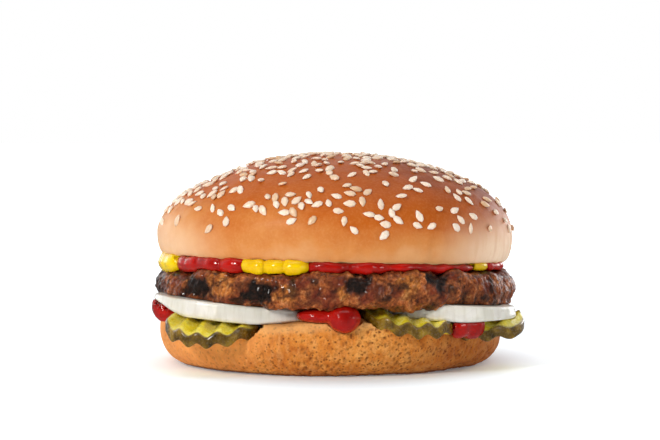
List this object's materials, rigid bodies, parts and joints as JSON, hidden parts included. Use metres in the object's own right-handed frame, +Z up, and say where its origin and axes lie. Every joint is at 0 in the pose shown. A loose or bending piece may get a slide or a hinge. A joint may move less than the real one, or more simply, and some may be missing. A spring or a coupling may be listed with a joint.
{
  "type": "hamburger",
  "caption": "Plain hamburger in a sesame seed bun with beef patty, ketchup, mustard, raw onion and crinkle-cut pickles.",
  "frame": {"origin": "on the surface it rests on, under the middle of the burger's bounding box", "axes": "+Z up through the stack, the best-filled front of the burger faces -Y, +X to the right seen from the front"},
  "size_m": [0.1036, 0.1032, 0.0595],
  "materials": {
    "crust": "browned, satin bun crust",
    "crumb": "matt, porous golden bread",
    "beef": "grilled ground beef, charred and greasy",
    "onion": "wet white onion flesh",
    "pickle": "wet pickled cucumber with an olive rind",
    "ketchup": "glossy red sauce",
    "mustard": "glossy yellow sauce",
    "seed": "toasted sesame seed"
  },
  "bodies": {
    "root": {"heel": "crumb", "crown": "crust", "patty": "beef", "onion_left": "onion", "onion_right": "onion", "onion_back": "onion", "pickle_left": "pickle", "pickle_middle": "pickle", "pickle_right": "pickle", "pickle_back": "pickle", "mustard_far_left": "mustard", "ketchup_left": "ketchup", "mustard_left": "mustard", "ketchup_middle": "ketchup", "mustard_right": "mustard", "ketchup_right": "ketchup", "ketchup_low_left": "ketchup", "ketchup_low_middle": "ketchup", "ketchup_low_right": "ketchup", "ketchup_low_back": "ketchup"}
  },
  "joints": []
}
